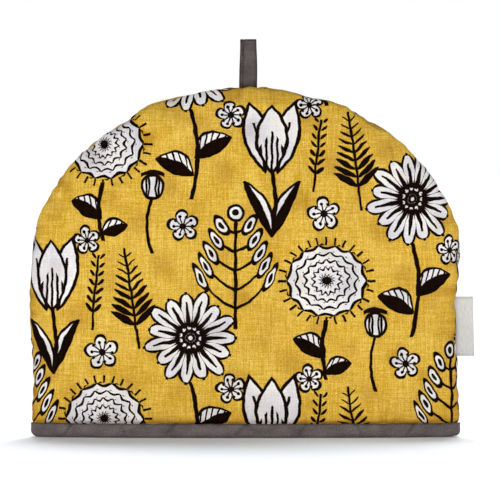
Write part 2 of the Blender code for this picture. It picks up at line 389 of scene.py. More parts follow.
def flat_places(points, side):
    """Where each point lies on the flat cloth: across from the middle column, and up along it."""
    across = arc_lengths(points, 1)
    middle = points.shape[1] // 2
    across = side * (across - across[:, middle : middle + 1])
    up = arc_lengths(points[:, middle : middle + 1], 0)
    return np.stack([across, np.broadcast_to(up, across.shape)], -1)


def outward(points, side):
    """Unit normals of a grid of points, away from the inside of the cosy."""
    normals = np.cross(np.gradient(points, axis=1), np.gradient(points, axis=0))
    normals /= np.maximum(np.linalg.norm(normals, axis=-1, keepdims=True), 1e-12)
    middle = normals[len(normals) // 2, normals.shape[1] // 2]
    return normals * np.sign(middle[1] * side)


def grid_quads(index):
    """Quads over a grid of point numbers."""
    return np.stack([index[:-1, :-1], index[:-1, 1:], index[1:, 1:], index[1:, :-1]], -1).reshape(-1, 4)


def panel_rows(inside):
    """The height of each row of one face of a panel, how far in from the form's outline the cloth lies there,
    and how far it swells out."""
    under_tape = np.linspace(BINDING_FOLD + GAP, TAPE_TOP, 5)
    above_tape = TAPE_TOP + np.array(ROWS_ABOVE_TAPE_MM) * MM
    sides = np.arange(TAPE_TOP + FIRST_SIDE_ROW, SIDE_HEIGHT - SIDE_ROW / 2, SIDE_ROW)
    last = WALL if inside else 0
    turns = np.linspace(0, math.pi / 2, DOME_ROWS + 1)[:-1]
    dome = SIDE_HEIGHT + (BODY_HEIGHT - SIDE_HEIGHT - last) * np.sin(turns)
    heights = np.concatenate([under_tape, above_tape, sides, dome])
    above = np.maximum(heights - TAPE_TOP, 0)
    if inside:
        return heights, WALL - (WALL - PRESSED_INSIDE) * np.exp(-above / INSIDE_EASE), 0 * above
    plump = PLUMP * (1 - np.exp(-above / PLUMP_RISE)) * np.exp(-above / PLUMP_REACH)
    ditch = DITCH * near(above - DITCH_HEIGHT, DITCH_WIDTH) * (above > 0)
    return heights, PRESSED_OUTSIDE * np.exp(-above / OUTSIDE_EASE), plump - ditch


def at_rest(start, faces, held):
    """Where the points of a net of spare cloth come to rest over the padding, with weights that hold them."""
    data = bpy.data.meshes.new("cloth_net")
    data.from_pydata(start.reshape(-1, 3).tolist(), [], faces)
    net = bpy.data.objects.new("cloth_net", data)
    bpy.context.scene.collection.objects.link(net)
    sewn = net.vertex_groups.new(name="sewn")
    for point, weight in enumerate(held.ravel()):
        sewn.add([point], float(weight), "REPLACE")

    cloth = net.modifiers.new("cloth", "CLOTH")
    cloth.settings.quality = 5
    cloth.settings.tension_stiffness = cloth.settings.compression_stiffness = 15
    cloth.settings.shear_stiffness = 5
    cloth.settings.bending_stiffness = 2
    cloth.settings.shrink_min = -SPARE_CLOTH
    cloth.settings.use_pressure = True
    cloth.settings.uniform_pressure_force = PADDING_PRESS
    cloth.settings.pressure_factor = 0
    cloth.settings.vertex_group_mass = "sewn"
    cloth.settings.effector_weights.gravity = 0
    cloth.collision_settings.use_collision = False
    cloth.point_cache.frame_end = SETTLING_FRAMES + 1
    scene = bpy.context.scene
    first_frame = scene.frame_current
    for number in range(1, SETTLING_FRAMES + 1):
        scene.frame_set(number)
    settled = np.zeros(start.size)
    net.evaluated_get(bpy.context.evaluated_depsgraph_get()).data.vertices.foreach_get("co", settled)
    scene.frame_set(first_frame)
    bpy.data.objects.remove(net)
    bpy.data.meshes.remove(data)
    return settled.reshape(start.shape)


def in_between(places, known, moves):
    """Fills in moves between the places along their first axis where they are known, and swaps their axes."""
    filled = [[np.interp(places, known, line) for line in moves[..., axis].T] for axis in range(3)]
    return np.stack(filled, -1)


def settling(points, heights, side):
    """How far each point of a panel's printed cloth moves as the spare cloth settles over the soft padding.
    It is sewn down along the seam and the tape. Its moves are found on a coarser net of the same form."""
    middle = points.shape[1] // 2
    up = arc_lengths(points[:, middle : middle + 1], 0)[:, 0]
    top_row = int(np.searchsorted(heights, SIDE_HEIGHT + 0.99 * (BODY_HEIGHT - SIDE_HEIGHT)))
    rows = [int(np.searchsorted(heights, TAPE_TOP))]
    for row in range(rows[0] + 1, top_row):
        if up[row] - up[rows[-1]] >= SETTLING_STEP:
            rows.append(row)
    columns = np.arange(0, points.shape[1], 2)
    start = points[rows][:, columns]
    index = np.arange(start.shape[0] * start.shape[1]).reshape(start.shape[:2])

    _, depth = along_seam(start[..., 0] - BODY_X, start[..., 2])
    from_seam = np.hypot(depth, start[..., 1])
    held = np.maximum(PADDING_HOLD, 1 - smoothstep(0.5 * MM, 3 * MM, from_seam))
    held[[0, -1]] = 1
    held[:, [0, -1]] = 1
    move = at_rest(start, grid_quads(index)[:, ::-side].tolist(), held) - start
    far = np.maximum(np.linalg.norm(move, axis=-1, keepdims=True), 1e-9)
    move = move * MOST_SETTLING * np.tanh(far / MOST_SETTLING) / far

    move = in_between(up, up[rows], move)
    move = in_between(np.arange(points.shape[1]), columns, move)
    for _ in range(2):
        move[1:-1] = (move[:-2] + 2 * move[1:-1] + move[2:]) / 4
        move[:, 1:-1] = (move[:, :-2] + 2 * move[:, 1:-1] + move[:, 2:]) / 4
    return move * smoothstep(0, 4 * MM, heights - TAPE_TOP)[:, None, None]


def padding_swell(points, side):
    """How far along Y the padding swells out just inside the seam."""
    height = points[..., 2]
    on_dome = smoothstep(SIDE_HEIGHT - 40 * MM, SIDE_HEIGHT + 50 * MM, height)
    shoulder = near(np.abs(points[..., 0] - BODY_X) - SHOULDER_X, SHOULDER_SPREAD)
    thick = SIDE_SWELL + (DOME_SWELL - SIDE_SWELL + SHOULDER_SWELL * shoulder) * on_dome
    thick = thick * smoothstep(0, 25 * MM, height - TAPE_TOP)
    share = np.abs(points[..., 1]) / SWELL_REACH
    return side * thick * share * np.exp(1 - share)


def unevenness(points, across, heights, side):
    """How far the puckers, rolls and creases of the printed cloth move each point out, and how much painted
    shade the point takes where it lies in a hollow, at the seam or just above the tape."""
    x, height = points[..., 0] - BODY_X, points[..., 2]
    along, depth = along_seam(x, height)
    from_seam = np.hypot(depth, np.abs(points[..., 1]) - GAP / 2)
    away = from_seam / SEAM_PUCKER_REACH
    above = np.maximum(heights[:, None] - TAPE_TOP, 0) / HEM_PUCKER_REACH
    free = smoothstep(0, 30 * MM, heights[:, None] - TAPE_TOP)
    seam_puckers = rippling(along + side * SEAM_PUCKER_SHIFT, SEAM_PUCKERS)
    hem_puckers = rippling(across + side * HEM_PUCKER_SHIFT, HEM_PUCKERS)
    out = seam_puckers * away * np.exp(1 - away) * np.clip(above, 0, 1)
    out = out + hem_puckers * above * np.exp(1 - above)
    seam_rolls = rolling(x, height, side, SEAM_ROLLS) * np.exp(-from_seam / SEAM_ROLL_REACH)
    rolls = (rolling(x, height, side, PADDING_ROLLS) + seam_rolls) * free
    out = out + (rolls + creasing(x, height, side)) * (1 - np.exp(-away))

    # Painted shade: darker along the seam, less so round the dome, in a narrow band just above the tape, and
    # where puckers and creases draw the cloth in.
    beside = 1 - 0.75 * smoothstep(SIDE_HEIGHT - 30 * MM, SIDE_HEIGHT + 40 * MM, height)
    painted_seam_shade = 1.1 * near(from_seam, SEAM_SHADE_CORE) + 0.5 * np.exp(-from_seam / SEAM_SHADE_FRINGE)
    painted_shade_above_tape = near(above, 1 / 1.1) + 0.42 * np.exp(-above / 2)
    return out, beside * painted_seam_shade + painted_shade_above_tape + np.clip(-out / (1.2 * MM), 0, 0.5)


def padded_face(side, inside):
    """One face of a panel: its points with the top one last, their places on the flat cloth, their painted
    shade, and how many rows and columns there are."""
    heights, insets, swells = panel_rows(inside)
    angles = np.linspace(0, math.pi, COLUMNS + 1)
    fullness = smoothstep(0.03, 0.55, np.sin(angles))
    inset = insets[:, None] - swells[:, None] * fullness[None, :]
    points = cosy_form(heights[:, None], angles[None, :], inset, side, grooved=not inside)
    top = cosy_form(BODY_HEIGHT - insets[-1], math.pi / 2, insets[-1], side, grooved=not inside)
    if inside:
        flat = flat_places(points, side)
        hollow = np.zeros(flat.shape[:2])
    else:
        points[..., 1] += padding_swell(points, side)
        flat = flat_places(points, side)
        out, hollow = unevenness(points, flat[..., 0], heights, side)
        points = points + outward(points, side) * out[..., None]
        points = points + settling(points, heights, side)
    top_flat = np.array([0.0, flat[-1, 0, 1] + np.linalg.norm(top - points[-1, COLUMNS // 2])])
    return (
        np.concatenate([points.reshape(-1, 3), [top]]),
        np.concatenate([flat.reshape(-1, 2), [top_flat]]),
        np.append(np.clip(hollow, 0, 1).ravel(), hollow.max()),
        points.shape[:2],
    )


def grid_faces(rows, columns, first, top):
    """Quads over a grid, triangles that close it at the top point, and the border that all of them leave."""
    index = np.arange(rows * columns).reshape(rows, columns) + first
    fan = [[int(a), int(b), top] for a, b in zip(index[-1, :-1], index[-1, 1:])]
    border = [*index[0], *index[1:, -1], top, *index[:0:-1, 0]]
    return grid_quads(index).tolist() + fan, [int(i) for i in border]


def panel(node, side, print_cloth, plain_cloth):
    outer, outer_flat, outer_painted_shade, (rows, columns) = padded_face(side, inside=False)
    inner, inner_flat, inner_painted_shade, _ = padded_face(side, inside=True)
    count = rows * columns
    outer_faces, outer_border = grid_faces(rows, columns, 0, count)
    inner_faces, inner_border = grid_faces(rows, columns, count + 1, 2 * count + 1)
    rim = []
    for i in range(len(outer_border)):
        rim.append([outer_border[i - 1], outer_border[i], inner_border[i], inner_border[i - 1]])
    points = np.concatenate([outer, inner])
    flat = np.concatenate([outer_flat, inner_flat])
    # Painted shade: the rim between the two faces darkens fully towards the inner face.
    inner_painted_shade[np.array(inner_border) - count - 1] = 1
    hollow = np.concatenate([outer_painted_shade, inner_painted_shade])
    if side > 0:
        flat = flat + np.array(BACK_PRINT_SHIFT_MM) * MM
    finishes = [print_cloth, plain_cloth]
    finish_of_face = [0] * len(outer_faces) + [1] * len(inner_faces) + [0] * len(rim)
    faces = outer_faces + inner_faces + rim
    made = cloth_object(node + "_cloth", points, faces, flat, hollow, finishes, finish_of_face)
    stand_for(made, node)


def sweep_faces(sections, corners, closed):
    """Quads round a row of sections, which is closed to a ring or else capped at both ends."""
    index = np.arange(sections * corners).reshape(sections, corners)
    here = index if closed else index[:-1]
    following = np.roll(index, -1, 0) if closed else index[1:]
    quads = np.stack([here, np.roll(here, -1, 1), np.roll(following, -1, 1), following], -1)
    caps = [] if closed else [index[0].tolist(), index[-1].tolist()]
    return quads.reshape(-1, 4).tolist() + caps


def tape_profile():
    """The tape's U-shaped section as (how far in, how high), and how many points its outer face has. It runs
    down the outer face, round the foot, up the inner face and back inside."""
    low, high, top, sole = TAPE_INSET, WALL - TAPE_INSET, TAPE_TOP, BINDING_FOLD
    radius = TAPE_FOOT_RADIUS
    turns = np.linspace(0, math.pi / 2, 5)
    rise = np.linspace(top, radius + 0.5 * MM, 10)
    outer = [(low + 0.3 * MM, top + 0.1 * MM)] + [(low, height - 0.15 * MM) for height in rise]
    foot = [(low + radius * (1 - math.cos(turn)), radius * (1 - math.sin(turn))) for turn in turns]
    heel = [(high - radius * (1 - math.cos(turn)), radius * (1 - math.sin(turn))) for turn in turns[::-1]]
    inner = [(high, height) for height in rise[::-2]]
    inner_edge = [(high - TAPE / 2, top + 0.2 * MM), (high - TAPE, top), (high - TAPE, sole)]
    inside = [(low + TAPE, sole), (low + TAPE, top), (low + TAPE * 0.7, top + 0.2 * MM)]
    return np.array(outer + foot + heel + inner + inner_edge + inside), len(outer)


def pinching(x, height, side):
    total = 0
    for pinch in TAPE_PINCHES:
        across = x - pinch.x_mm * MM - pinch.slant * (height - BINDING_HEIGHT / 2)
        total = total + pinch.deep_mm * MM * near(across, pinch.wide_mm * MM) * (side == pinch.side)
    return total


def hem_binding(tape_cloth):
    profile, outer_count = tape_profile()
    turns = np.linspace(0, math.tau, BINDING_STEPS, endpoint=False)
    side = np.where(turns < math.pi, -1, 1)[:, None]
    angles = np.where(turns < math.pi, turns, math.tau - turns)[:, None]

    def form(height, inset):
        height, inset = np.broadcast_arrays(height, inset, subok=False)
        front, back = cosy_form(height, angles, inset, -1), cosy_form(height, angles, inset, 1)
        return np.where(side[..., None] < 0, front, back)

    line = form(np.zeros((1, 1)), np.zeros((1, 1)))[:, 0]
    around = arc_lengths(line, 0)[:, None]
    high = profile[:, 1]
    outer_face = np.arange(len(profile)) < outer_count + 2
    free = (outer_face * smoothstep(0.8 * MM, 3.5 * MM, high))[None, :]
    pinched = pinching(line[:, :1] - BODY_X, high[None, :], side) * free
    share = np.clip((high - TAPE_FOOT_RADIUS) / (TAPE_TOP - TAPE_FOOT_RADIUS), 0, 1)
    bulge = TAPE_BULGE * outer_face * np.sin(math.pi * share) ** 0.8 * smoothstep(0.03, 0.4, np.sin(angles))
    inset = profile[None, :, 0] + pinched - bulge - rippling(around, TAPE_PUCKERS) * free
    near_top = smoothstep(TAPE_TOP * 0.6, TAPE_TOP, high[None, :])
    height = high[None, :] + rippling(around * 0.8, TAPE_PUCKERS) * near_top - 0.5 * pinched * near_top
    points = form(height, inset)
    points[[0, BINDING_STEPS // 2], :, 1] = 0
    # Painted shade on the tape: darker along its top edge under the cloth and at its foot, evenly on its
    # inner face, in its pinches, and a little more and less along its top.
    edges = near(high - TAPE_TOP, 0.9 * MM) + 0.85 * near(high, 1.7 * MM)
    hollow = np.where(outer_face, edges * 0.75, 0.35)[None, :] + np.clip(pinched / (0.9 * MM), 0, 0.5)
    hollow = np.clip(hollow + 0.12 * np.sin(around / (1.9 * MM)) * near_top * free, 0, 1)
    flat = np.stack(np.broadcast_arrays(around, arc_lengths(profile, 0)[None, :]), -1)
    faces = sweep_faces(BINDING_STEPS, len(profile), closed=True)
    made = cloth_object("hem_tape", points, faces, flat, hollow, [tape_cloth])
    stand_for(made, "hem_binding")


def folded_line(root, bow, long, fold_radius, steps, fold_steps):
    """The middle of a folded strip, as (across, along): out from one root, round the fold and back."""
    straight = long - fold_radius
    share = np.arange(steps) / steps
    bowed = (bow - root) * np.sin(math.pi * np.minimum(1, share * 1.02)) ** 0.8
    across = root + bowed + (fold_radius - root) * smoothstep(0.55, 1, share)
    out = np.stack([across, straight * share], -1)
    turns = np.linspace(0, math.pi, fold_steps)
    fold = np.stack([fold_radius * np.cos(turns), straight + fold_radius * np.sin(turns)], -1)
    return np.concatenate([out, fold, out[::-1] * [-1, 1]])


def line_normals(line):
    run = np.gradient(line, axis=0)
    run /= np.linalg.norm(run, axis=1, keepdims=True)
    return np.stack([-run[:, 1], run[:, 0]], -1)


def tape_section(width, thickness, grooves):
    """A flat strip's section as (across its width, out of its face), with rounded edges and pressed lines."""
    edge = thickness / 2
    across = np.linspace(-width / 2 + edge, width / 2 - edge, 34)
    pressed = sum(deep * near(across - at, wide) for at, deep, wide in grooves)
    turns = np.linspace(-math.pi / 2, math.pi / 2, 6)[1:-1]
    right = np.stack([width / 2 - edge + edge * np.cos(turns), edge * np.sin(turns)], -1)[::-1]
    upper = np.stack([across, edge - pressed], -1)
    lower = np.stack([across, pressed * 0.5 - edge], -1)[::-1]
    return np.concatenate([upper, right, lower, right[::-1] * [-1, 1]])


def loop_painted_shade(section, line, wide, long):
    """The loop's painted shade: some all over it, more along its edges and its pressed line, and at its fold
    and its root.
    """
    from_left, from_right = section[:, 0] + wide / 2, wide / 2 - section[:, 0]
    pressed = 0.6 * near(from_left, 0.9 * MM) + 0.48 * near(from_right, 1.8 * MM)
    pressed = pressed + 0.33 * near(from_left - LOOP_FOLD_LINE, 0.55 * MM)
    pressed = pressed + 0.13 * (from_left < LOOP_FOLD_LINE)
    painted_shade_at_ends = 0.35 * near(long - line[:, 1], 1.4 * MM) + 0.2 * near(line[:, 1], 3 * MM)
    return np.clip(0.5 + pressed[None, :] + painted_shade_at_ends[:, None], 0, 1)


def hanging_loop(tape_cloth):
    low, high = (np.array(corner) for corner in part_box("hanging_loop"))
    long = high[2] - low[2] - LOOP_THICKNESS / 2 + LOOP_SOFT_EDGE
    wide = LOOP_WIDTH + 2 * LOOP_SOFT_EDGE
    root = (LOOP_THICKNESS + GAP) / 2
    line = folded_line(root, LOOP_BOW, long, LOOP_FOLD_RADIUS, steps=34, fold_steps=13)
    left = -wide / 2
    pressed_line = (left + LOOP_FOLD_LINE, 0.3 * MM, 0.4 * MM)
    faint_line = (left + LOOP_FOLD_LINE * 0.35, 0.06 * MM, 0.5 * MM)
    section = tape_section(wide, LOOP_THICKNESS, [pressed_line, faint_line])
    narrow = 1 - 2 * LOOP_WAIST / wide * smoothstep(0.3 * long, long, line[:, 1])
    wavy = 0.15 * MM * np.sin(line[:, 1] / long * 4 - 1.0)
    place = line[:, None, :] - line_normals(line)[:, None, :] * section[None, :, 1:2]
    x = BODY_X + LOOP_OFF_CENTRE + wavy[:, None] + section[None, :, 0] * narrow[:, None]
    points = np.stack([x, place[..., 0], low[2] + np.maximum(place[..., 1], 0)], -1)
    flat = np.stack(np.broadcast_arrays(arc_lengths(section, 0)[None, :], arc_lengths(line, 0)[:, None]), -1)
    faces = sweep_faces(len(line), len(section), closed=False)
    hollow = loop_painted_shade(section, line, wide, long)
    made = cloth_object("loop_tape", points, faces, flat, hollow, [tape_cloth])
    stand_for(made, "hanging_loop")


def side_label(ribbon_cloth):
    low, high = (np.array(corner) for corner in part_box("side_label"))
    root = (LABEL_PLY + LABEL_SPREAD) / 2
    line = folded_line(root, root * 1.25, LABEL_REACH, root, steps=16, fold_steps=9)
    half_ply = line_normals(line) * LABEL_PLY / 2
    outline = np.concatenate([line + half_ply, (line - half_ply)[::-1]])
    share_up = np.linspace(0, 1, LABEL_ROWS + 1)
    heights = low[2] + LABEL_TUCK + (high[2] - low[2] - LABEL_TUCK) * share_up
    seam = cosy_form(heights, 0.0, 0.0, -1, grooved=True)[:, 0] + 3 * GAP
    fold = high[0] - LABEL_LEAN * share_up
    share_out = np.maximum(outline[:, 1], 0) / LABEL_REACH
    thin = 1 - 0.35 * np.maximum(smoothstep(0.04, 0, share_up), smoothstep(0.96, 1, share_up))
    curled = 0.4 + 0.6 * np.sin(math.pi * (0.15 + 0.6 * share_up))
    curl = LABEL_CURL * share_out[None, :] ** 2 * curled[:, None]
    curl = curl + 0.12 * MM * np.sin(share_up * 17 + 1)[:, None] * share_out[None, :]
    x = seam[:, None] + (fold - seam)[:, None] * share_out[None, :]
    y = outline[None, :, 0] * thin[:, None] - curl
    points = np.stack([x, y, np.broadcast_to(heights[:, None], y.shape)], -1)
    flat = np.stack(np.broadcast_arrays(arc_lengths(outline, 0)[None, :], heights[:, None]), -1)
    faces = sweep_faces(LABEL_ROWS + 1, len(outline), closed=False)
    # Painted shade on the label: darker at its top and bottom ends, towards its foot, at its root by the seam
    # and along its outer edge.
    ends = near(share_up, 1 / 30) + near(1 - share_up, 1 / 34)
    painted_shade_by_height = 0.3 * ends + 0.28 * (1 - share_up) ** 1.5
    painted_shade_across = 0.6 * near(share_out, 1 / 7) + 0.22 * smoothstep(0.93, 1, share_out)
    hollow = np.clip(painted_shade_by_height[:, None] + painted_shade_across[None, :], 0, 1)
    made = cloth_object("label_ribbon", points, faces, flat, hollow, [ribbon_cloth])
    stand_for(made, "side_label")


# --- Shader maths -------------------------------------------------------------------------------------------


class Value:
    """A shader socket that takes part in arithmetic: each operator adds one Math node."""

    def __init__(self, shade, socket):
        self.shade = shade
        self.socket = socket

    def maths(self, operation, *others):
        return self.shade.add("ShaderNodeMath", {"operation": operation}, dict(enumerate((self, *others))))

    def __add__(self, other):
        return self.maths("ADD", other)

    def __sub__(self, other):
        return self.maths("SUBTRACT", other)

    def __mul__(self, other):
        return self.maths("MULTIPLY", other)

    def __truediv__(self, other):
        return self.maths("DIVIDE", other)

    def __rsub__(self, other):
        return (self * -1).maths("ADD", other)

    def __abs__(self):
        return self.maths("ABSOLUTE")

    __radd__ = __add__
    __rmul__ = __mul__


def smaller(first, *others):
    for other in others:
        first = first.maths("MINIMUM", other)
    return first


def larger(first, *others):
    for other in others:
        first = first.maths("MAXIMUM", other)
    return first


def sine(value):
    return value.maths("SINE")


def power(value, exponent):
    return larger(value, 0).maths("POWER", exponent)


def rounded(value):
    return value.maths("ROUND")


def turn_of(x, y):
    return y.maths("ARCTAN2", x)


def length(x, y):
    return x.shade.add("ShaderNodeVectorMath", {"operation": "LENGTH"}, {0: x.shade.vector(x, y)}, "Value")


class Shade:
    """One finish and its nodes."""

    def __init__(self, name, roughness, specular=0.25):
        self.finish = bpy.data.materials.new(name)
        self.finish.use_nodes = True
        self.tree = self.finish.node_tree
        self.surface = self.tree.nodes["Principled BSDF"]
        self.surface.inputs["Roughness"].default_value = roughness
        self.surface.inputs["Specular IOR Level"].default_value = specular

    def link(self, value, socket):
        if isinstance(value, Value):
            self.tree.links.new(value.socket, socket)
        else:
            socket.default_value = value

    def add(self, kind, settings=None, sockets=None, output=0):
        """Adds a node: its settings first, then its sockets' values or links."""
        node = self.tree.nodes.new(kind)
        for name, value in (settings or {}).items():
            if name == "stops":
                ramp = node.color_ramp.elements
                while len(ramp) < len(value):
                    ramp.new(1)
                for element, (position, colour) in zip(ramp, value):
                    element.position = position
                    element.color = colour
            else:
                setattr(node, name, value)
        for name, value in (sockets or {}).items():
            self.link(value, node.inputs[name])
        return Value(self, node.outputs[output])

    def flat_place(self):
        """The place on the flat cloth, in millimetres: across and up."""
        place = self.add("ShaderNodeUVMap", {"uv_map": "cloth"})
        place = self.add("ShaderNodeVectorMath", {"operation": "SCALE"}, {0: place, "Scale": 1 / MM})
        split = self.add("ShaderNodeSeparateXYZ", sockets={0: place})
        node = split.socket.node
        return Value(self, node.outputs["X"]), Value(self, node.outputs["Y"])

    # The painted shade of each point, read from the mesh's attribute.
    def hollow(self):
        settings = {"attribute_type": "GEOMETRY", "attribute_name": "hollow"}
        return self.add("ShaderNodeAttribute", settings, output=2)

    def vector(self, x, y, z=0.0):
        return self.add("ShaderNodeCombineXYZ", sockets={0: x, 1: y, 2: z})

    def noise(self, x, y, seed, detail, roughness=0.5):
        sockets = {"Vector": self.vector(x, y, seed), "Scale": 1.0, "Detail": detail, "Roughness": roughness}
        return self.add("ShaderNodeTexNoise", {"noise_dimensions": "3D"}, sockets)

    def blend(self, share, first, second, way="MIX"):
        """A colour between two, or the first one multiplied by the second, as far as the share says."""
        settings = {"data_type": "RGBA", "clamp_factor": True, "blend_type": way}
        return self.add("ShaderNodeMix", settings, {0: share, 6: first, 7: second}, output=2)

    def ramp(self, share, tones):
        stops = [(tone.place, shade_of(tone.red, tone.green, tone.blue)) for tone in tones]
        return self.add("ShaderNodeValToRGB", {"stops": stops}, {0: share})

    def colour(self, value):
        self.link(value, self.surface.inputs["Base Color"])

    def relief(self, height, distance, strength):
        sockets = {"Height": height, "Distance": distance, "Strength": strength}
        self.link(self.add("ShaderNodeBump", sockets=sockets), self.surface.inputs["Normal"])


def shade_of(red, green, blue):
    """A colour given as it is seen on a screen, 0 to 255, as a shader's linear colour."""
    seen = [part / 255 for part in (red, green, blue)]
    linear = [part / 12.92 if part <= 0.04 else ((part + 0.055) / 1.055) ** 2.4 for part in seen]
    return (*linear, 1.0)


def within(distance):
    """1 where a distance is negative and 0 where it is positive, with a short ramp between."""
    share = distance.maths("MULTIPLY_ADD", -1 / PRINT_EDGE, 0.5)
    share.socket.node.use_clamp = True
    return share


# --- The print ----------------------------------------------------------------------------------------------
# A half-drop repeat of drawn flowers, in millimetres before the scale enlarges it. Each motif is drawn round
# its own place, x to the right and y up. It gives how far a point is outside its ink, and outside its white
# paint if it has any.

REPEAT_WIDTH = 154
REPEAT_HEIGHT = 190
PRINT_SCALE = 1.15

# How far the whole print is moved on the cloth, and how wide the soft edge of its colours is.
PRINT_RIGHT = -46
PRINT_UP = 6
PRINT_EDGE = 0.25

# Half the widths of its drawn lines.
THIN = 0.78
FINE = 1.04
BOLD = 1.5


def repeated(x, y, at):
    """A motif's own coordinates: each column of the repeat is half a repeat higher than the last."""
    column = rounded((x - at[0]) / REPEAT_WIDTH)
    x = x - at[0] - column * REPEAT_WIDTH
    y = y - at[1] - column * (REPEAT_HEIGHT / 2)
    return x, y - rounded(y / REPEAT_HEIGHT) * REPEAT_HEIGHT


def turned(x, y, degrees):
    across, up = math.cos(math.radians(degrees)), math.sin(math.radians(degrees))
    return x * across + y * up, y * across - x * up


def spokes(turn, reach, count):
    """How far a point is to one side of the nearest of a ring of spokes."""
    share = turn * (count / math.tau)
    return abs(share - rounded(share)) * reach * (math.tau / count)


def stem(x, y, top, foot, bow, thick=BOLD):
    """A bowed stem from (0, top) down to (0, foot)."""
    middle, half = (top + foot) / 2, (top - foot) / 2
    along = (y - middle) / half
    return larger(abs(x - bow + along * along * bow) - thick, abs(y - middle) - half)


def lens(x, y, half_length, half_width):
    """A pointed oval standing upright."""
    return abs(x) - half_width + y * y * (half_width / half_length**2)


def leaf(x, y, long, wide):
    """A leaf that grows to the right: one half inked, the other white between its veins."""
    side = y - x * (long - x) * (0.5 / long)
    shape = lens(side, x - long / 2, long / 2, wide)
    slant = x - abs(side) * 0.9
    veins = abs(slant - rounded(slant / 4.9) * 4.9) - THIN
    filled = larger(shape, smaller(abs(side) - FINE, veins, side + 0.6))
    ends = abs(x - long / 2) - long / 2
    return larger(smaller(abs(shape) - FINE, filled), ends - 0.6), larger(shape, ends)


def daisy(x, y):
    petals = 15
    reach, turn = length(x, y), turn_of(x, y)
    share = turn * (petals / math.tau)
    which = rounded(share)
    long = sine(which * 2.4) * 2.2 + 31
    across = abs(share - which) * reach * (math.tau / petals)
    outwards = (reach - 8) / (long - 8)
    petal = across - power(outwards * (1 - outwards), 0.5) * (outwards * 4.6 + 7.4)
    petal = larger(petal, 8 - reach, reach - long)
    rib = larger(across - 1.9 + outwards * 1.7, 9 - reach, reach - long + 6)
    seed = length(spokes(turn, reach, 11), reach - 6.8) - 1.15
    eye = larger(reach - 10.2, 0 - seed, 3.2 - reach)
    ink = smaller(abs(petal) - FINE, rib, eye, larger(reach - 3.2, 1.3 - reach))
    return ink, smaller(petal, reach - 9.4)


def pompon(x, y):
    """Rings of scalloped petals, with a fringe of short rays."""
    ring_width, scallops = 5.6, 14
    reach, turn = length(x, y * 1.12), turn_of(x, y)
    ring = rounded(reach / ring_width - 0.5)
    scallop = abs(sine(turn * (scallops / 2) + ring * 0.8)) * 2.6 + reach
    shell = abs(scallop - rounded(scallop / ring_width) * ring_width) - 0.88
    edge = scallop - 28.4
    ray = larger(spokes(turn, reach, 28) - 0.85, abs(reach - 31) - 2.9)
    return smaller(larger(shell, edge), abs(edge) - FINE, reach - 3.2, ray), edge


def tulip(x, y):
    side_x, side_y = turned(abs(x) - 8.2, y + 1, -13)
    middle = lens(x, y + 2, 20, 8.8)
    outer = lens(side_x, side_y, 21, 7.4)
    hatch = larger(abs(x - rounded(x / 3.2) * 3.2) - THIN, middle, y + abs(x) * 1.4 - 3)
    strokes = larger(abs(side_x) - THIN, outer, y - 8, 0 - middle)
    ink = smaller(abs(middle) - FINE, larger(abs(outer) - FINE, 0 - middle), hatch, strokes)
    return larger(ink, abs(y) - 23), larger(smaller(middle, outer), abs(y) - 22)


def blades(x, y):
    """Two long narrow leaves that rise from the foot of a stem."""
    long = 42
    along, side = turned(abs(x), y, 63)
    side = side - along * (long - along) * 0.006
    ends = abs(along - long / 2) - long / 2
    shape = lens(side, along - long / 2, long / 2, 4.8)
    ink = smaller(abs(shape) - FINE, larger(shape, smaller(abs(side) - THIN, side)))
    return larger(ink, ends - 0.5), larger(shape, ends)


def berries(x, y):
    """A stalk with rising pairs of side stalks, each with a round bud."""
    side = abs(x)
    level = y - side * side * 0.022 - side * 0.35
    pair = smaller(larger(rounded(level / 13), 0), 4)
    local = level - pair * 13
    long = 24 - pair * 3.6
    buds = smaller(length(side - long, local) - 4.9, length(x, y - 66) - 5.2)
    stalks = smaller(larger(abs(local) - 1.15, side - long), larger(side - 1.25, abs(y - 24) - 38))
    return smaller(larger(stalks, 0 - buds), abs(buds) - FINE, buds + 2.9), buds


def fern(x, y):
    """A stalk with rising pairs of solid leaflets."""
    side = abs(x)
    level = y - side * 0.7
    pair = smaller(larger(rounded(level / 5.8), 0), 8)
    long = 16 - pair * 1.4
    leaflet = larger(abs(level - pair * 5.8) - side * (long - side) * 0.042 - 0.45, side - long)
    return smaller(leaflet, larger(side - 1.0, abs(y - 18) - 35))


def poppy_head(x, y):
    """A round seed head under a bowed crown, on a bowed stalk."""
    body = length(x * 1.12, y) - 8.2
    crown = larger(abs(y - 10.2 + abs(x) * abs(x) * 0.035) - 1.5, abs(x) - 8.2)
    stripes = larger(abs(abs(abs(x) - 3.3) - 1.1 + y * y * 0.012) - THIN, body)
    ink = smaller(abs(body) - FINE, crown, stripes)
    return smaller(ink, stem(x, y, -7.5, -46, -3.5, 1.15)), body


def sprig(x, y):
    """A thin stalk with close pairs of solid oval buds."""
    side = abs(x)
    level = y - side * 0.8
    pair = smaller(larger(rounded(level / 6.0), 0), 6)
    bud = length((side - 3.1) * 0.72, level - pair * 6.0) - 1.9 + pair * 0.1
    return smaller(bud, larger(side - 0.95, abs(y - 13) - 26))


def blossom(x, y, size):
    """Five round petals with a ring of stamens."""
    reach, turn = length(x, y), turn_of(x, y)
    edge = reach - power(abs(sine(turn * 2.5 + 0.4)), 0.55) * (size * 0.52) - size * 0.48
    across = spokes(turn, reach, 10)
    stamen = larger(across - 0.5, abs(reach - size * 0.4) - size * 0.2)
    tip = length(across, reach - size * 0.62) - 1.15
    return smaller(abs(edge) - FINE, reach - size * 0.22, stamen, tip), edge


